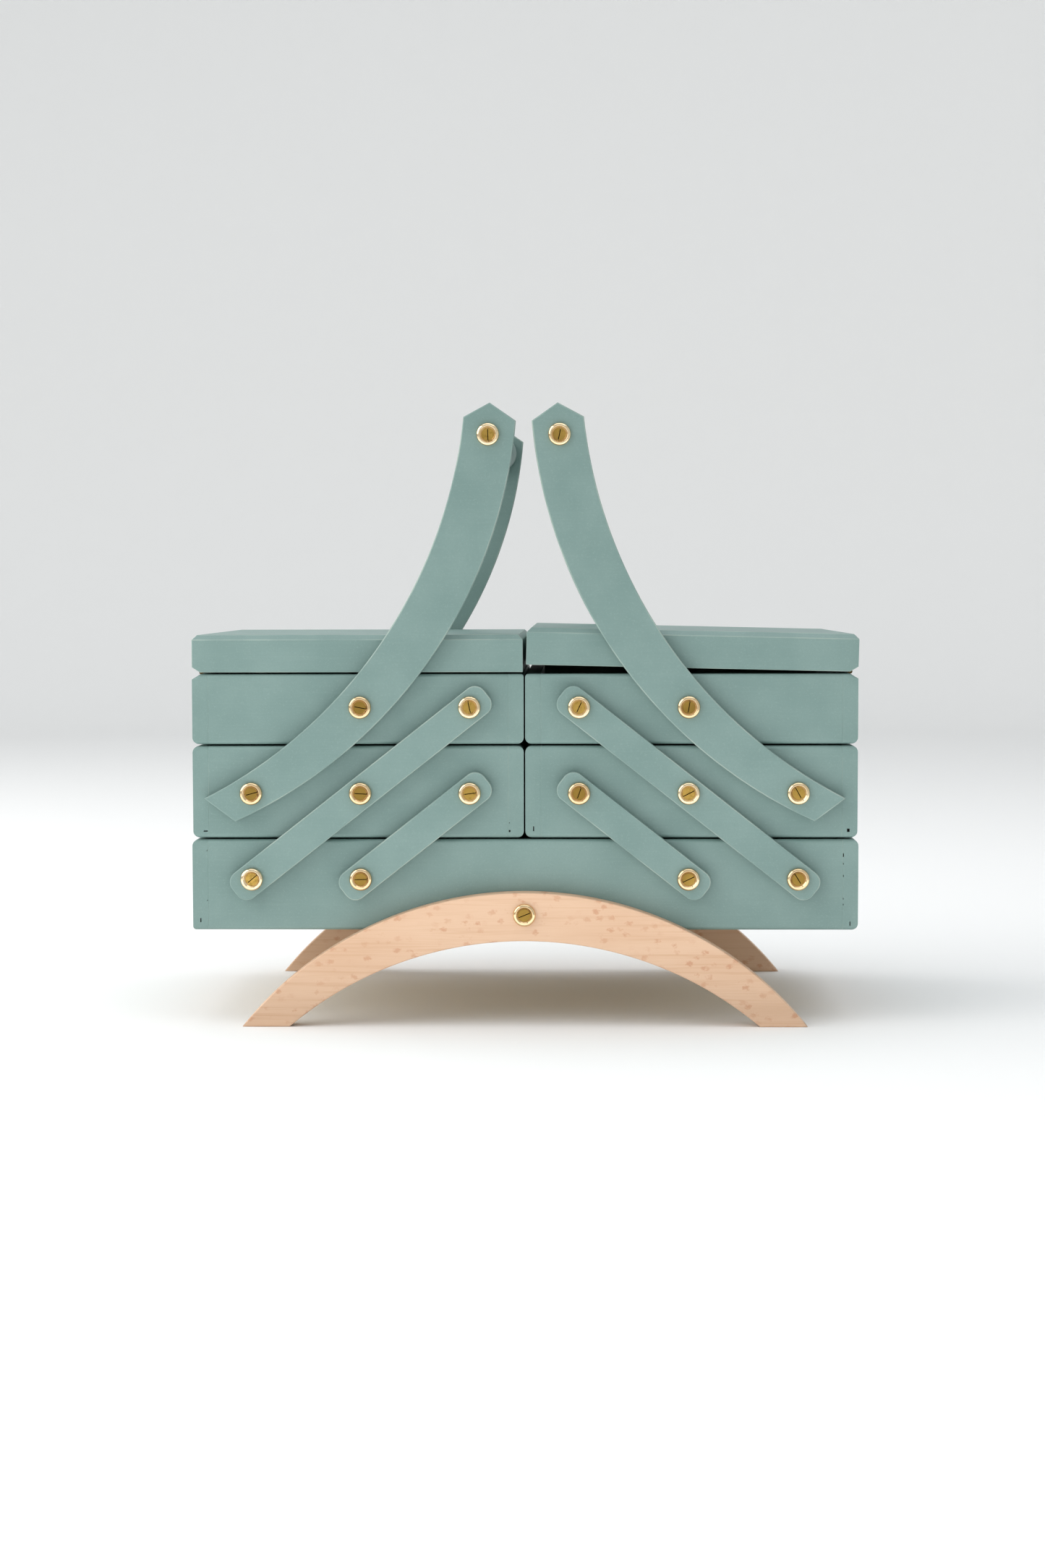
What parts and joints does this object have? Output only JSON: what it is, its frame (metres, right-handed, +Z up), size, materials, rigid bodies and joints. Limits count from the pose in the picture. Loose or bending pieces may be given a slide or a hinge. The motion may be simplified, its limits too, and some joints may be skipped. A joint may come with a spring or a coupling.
{
  "type": "sewing box with trays",
  "caption": "Cantilever sewing box on arched wooden feet: trays fold outwards on levers under hinged lids, with a split carrying handle and brass screw cups.",
  "frame": {"origin": "on the floor, under the middle of the closed box", "axes": "+X to the right along the box, front towards -Y, +Z up"},
  "size_m": [0.3, 0.1944, 0.2786],
  "materials": {
    "painted_wood": "satin grey-green paint on beech boards",
    "beech": "clear matt lacquer on beech",
    "plywood": "bare birch plywood",
    "brass": "polished and lacquered"
  },
  "bodies": {
    "base": {"base_front": "painted_wood", "base_rear": "painted_wood", "base_left_end": "painted_wood", "base_right_end": "painted_wood", "base_floor": "plywood", "front_foot": "beech", "rear_foot": "beech", "base_fasteners": "brass"},
    "left_long_levers": {"left_front_long_lever": "painted_wood", "left_rear_long_lever": "painted_wood"},
    "left_short_levers": {"left_front_short_lever": "painted_wood", "left_rear_short_lever": "painted_wood"},
    "left_lower_tray": {"left_lower_front": "painted_wood", "left_lower_rear": "painted_wood", "left_lower_inner_end": "painted_wood", "left_lower_outer_end": "painted_wood", "left_lower_floor": "plywood", "left_lower_fasteners": "brass"},
    "left_upper_tray": {"left_upper_front": "painted_wood", "left_upper_rear": "painted_wood", "left_upper_inner_end": "painted_wood", "left_upper_outer_end": "painted_wood", "left_upper_floor": "plywood", "left_upper_fasteners": "brass", "left_tray_hinges": "brass"},
    "left_lid": {"left_lid_top": "painted_wood", "left_lid_rails": "painted_wood", "left_lid_inner_end": "painted_wood", "left_lid_outer_end": "painted_wood", "left_lid_hinges": "brass"},
    "left_handle": {"left_front_arm": "painted_wood", "left_rear_arm": "painted_wood", "left_grip": "painted_wood", "left_handle_fasteners": "brass"},
    "right_long_levers": {"right_front_long_lever": "painted_wood", "right_rear_long_lever": "painted_wood"},
    "right_short_levers": {"right_front_short_lever": "painted_wood", "right_rear_short_lever": "painted_wood"},
    "right_lower_tray": {"right_lower_front": "painted_wood", "right_lower_rear": "painted_wood", "right_lower_inner_end": "painted_wood", "right_lower_outer_end": "painted_wood", "right_lower_floor": "plywood", "right_lower_fasteners": "brass"},
    "right_upper_tray": {"right_upper_front": "painted_wood", "right_upper_rear": "painted_wood", "right_upper_inner_end": "painted_wood", "right_upper_outer_end": "painted_wood", "right_upper_floor": "plywood", "right_upper_fasteners": "brass", "right_tray_hinges": "brass"},
    "right_lid": {"right_lid_top": "painted_wood", "right_lid_rails": "painted_wood", "right_lid_inner_end": "painted_wood", "right_lid_outer_end": "painted_wood", "right_lid_hinges": "brass"},
    "right_handle": {"right_front_arm": "painted_wood", "right_rear_arm": "painted_wood", "right_grip": "painted_wood", "right_handle_fasteners": "brass"}
  },
  "joints": [
    {"name": "left_levers", "type": "hinge", "parent": "base", "child": "left_long_levers", "pos_m": [-0.1225, 0, 0.0662], "axis": [0, -1, 0], "range_deg": [0, 103.61]},
    {"name": "left_short_levers", "type": "hinge", "parent": "base", "child": "left_short_levers", "pos_m": [-0.0735, 0, 0.0662], "axis": [0, -1, 0], "range_deg": [0, 103.61]},
    {"name": "left_lower_tray", "type": "hinge", "parent": "left_long_levers", "child": "left_lower_tray", "pos_m": [-0.0735, 0, 0.10475], "axis": [0, -1, 0], "range_deg": [-103.61, 0]},
    {"name": "left_upper_tray", "type": "hinge", "parent": "left_long_levers", "child": "left_upper_tray", "pos_m": [-0.0245, 0, 0.1433], "axis": [0, -1, 0], "range_deg": [-103.61, 0]},
    {"name": "left_handle", "type": "hinge", "parent": "left_lower_tray", "child": "left_handle", "pos_m": [-0.1225, 0, 0.10475], "axis": [0, -1, 0], "range_deg": [0, 103.61]},
    {"name": "left_lid", "type": "hinge", "parent": "left_upper_tray", "child": "left_lid", "pos_m": [-0.1476, 0, 0.1585], "axis": [0, -1, 0], "range_deg": [0, 100]},
    {"name": "right_levers", "type": "hinge", "parent": "base", "child": "right_long_levers", "pos_m": [0.1225, 0, 0.0662], "axis": [0, 1, 0], "range_deg": [0, 103.61]},
    {"name": "right_short_levers", "type": "hinge", "parent": "base", "child": "right_short_levers", "pos_m": [0.0735, 0, 0.0662], "axis": [0, 1, 0], "range_deg": [0, 103.61]},
    {"name": "right_lower_tray", "type": "hinge", "parent": "right_long_levers", "child": "right_lower_tray", "pos_m": [0.0735, 0, 0.10475], "axis": [0, 1, 0], "range_deg": [-103.61, 0]},
    {"name": "right_upper_tray", "type": "hinge", "parent": "right_long_levers", "child": "right_upper_tray", "pos_m": [0.0245, 0, 0.1433], "axis": [0, 1, 0], "range_deg": [-103.61, 0]},
    {"name": "right_handle", "type": "hinge", "parent": "right_lower_tray", "child": "right_handle", "pos_m": [0.1225, 0, 0.10475], "axis": [0, 1, 0], "range_deg": [0, 103.61]},
    {"name": "right_lid", "type": "hinge", "parent": "right_upper_tray", "child": "right_lid", "pos_m": [0.1476, 0, 0.1585], "axis": [0, 1, 0], "range_deg": [-1.3, 98.7]}
  ],
  "couplings": [
    {"joint": "left_short_levers", "follows": "left_levers", "ratio": 1},
    {"joint": "left_lower_tray", "follows": "left_levers", "ratio": -1},
    {"joint": "left_upper_tray", "follows": "left_levers", "ratio": -1},
    {"joint": "left_handle", "follows": "left_levers", "ratio": 1},
    {"joint": "right_short_levers", "follows": "right_levers", "ratio": 1},
    {"joint": "right_lower_tray", "follows": "right_levers", "ratio": -1},
    {"joint": "right_upper_tray", "follows": "right_levers", "ratio": -1},
    {"joint": "right_handle", "follows": "right_levers", "ratio": 1}
  ]
}
